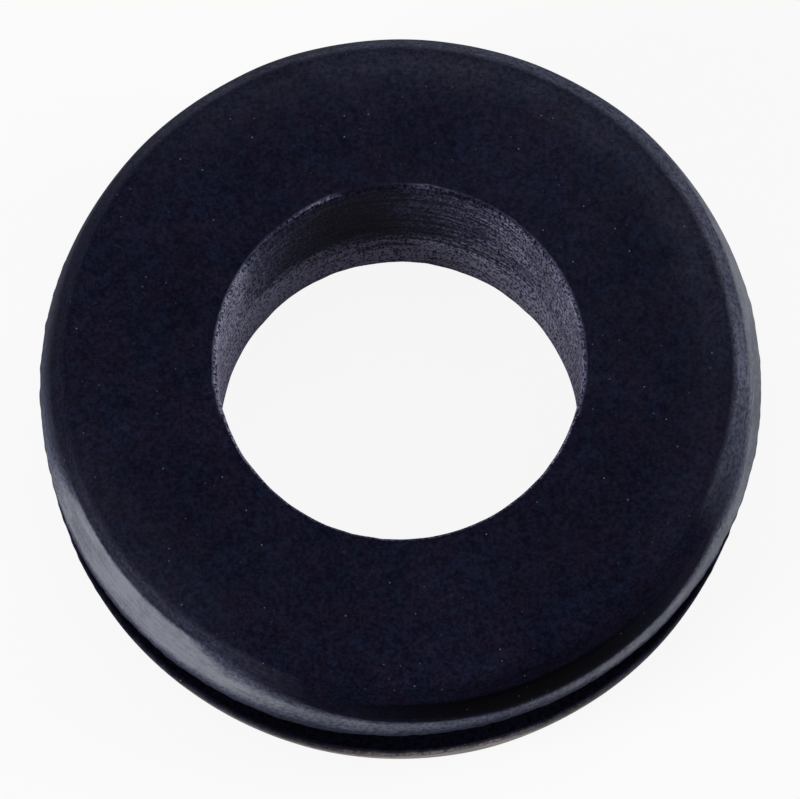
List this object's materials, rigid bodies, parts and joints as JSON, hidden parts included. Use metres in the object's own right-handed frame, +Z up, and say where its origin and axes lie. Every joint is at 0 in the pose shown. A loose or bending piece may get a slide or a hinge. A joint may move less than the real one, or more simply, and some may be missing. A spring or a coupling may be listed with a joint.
{
  "type": "rubber grommet",
  "caption": "Round rubber grommet with two like flanges, a panel groove between them and a straight cable bore.",
  "frame": {"origin": "centre of the lower flange's flat face, on the bore axis", "axes": "+Z up along the bore axis; the panel groove is level, and the part is the same all round +Z"},
  "size_m": [0.0254, 0.0254, 0.009],
  "materials": {
    "rubber": "matt moulded black rubber, dusty grey where it catches the light"
  },
  "bodies": {
    "root": {"grommet": "rubber"}
  },
  "joints": []
}
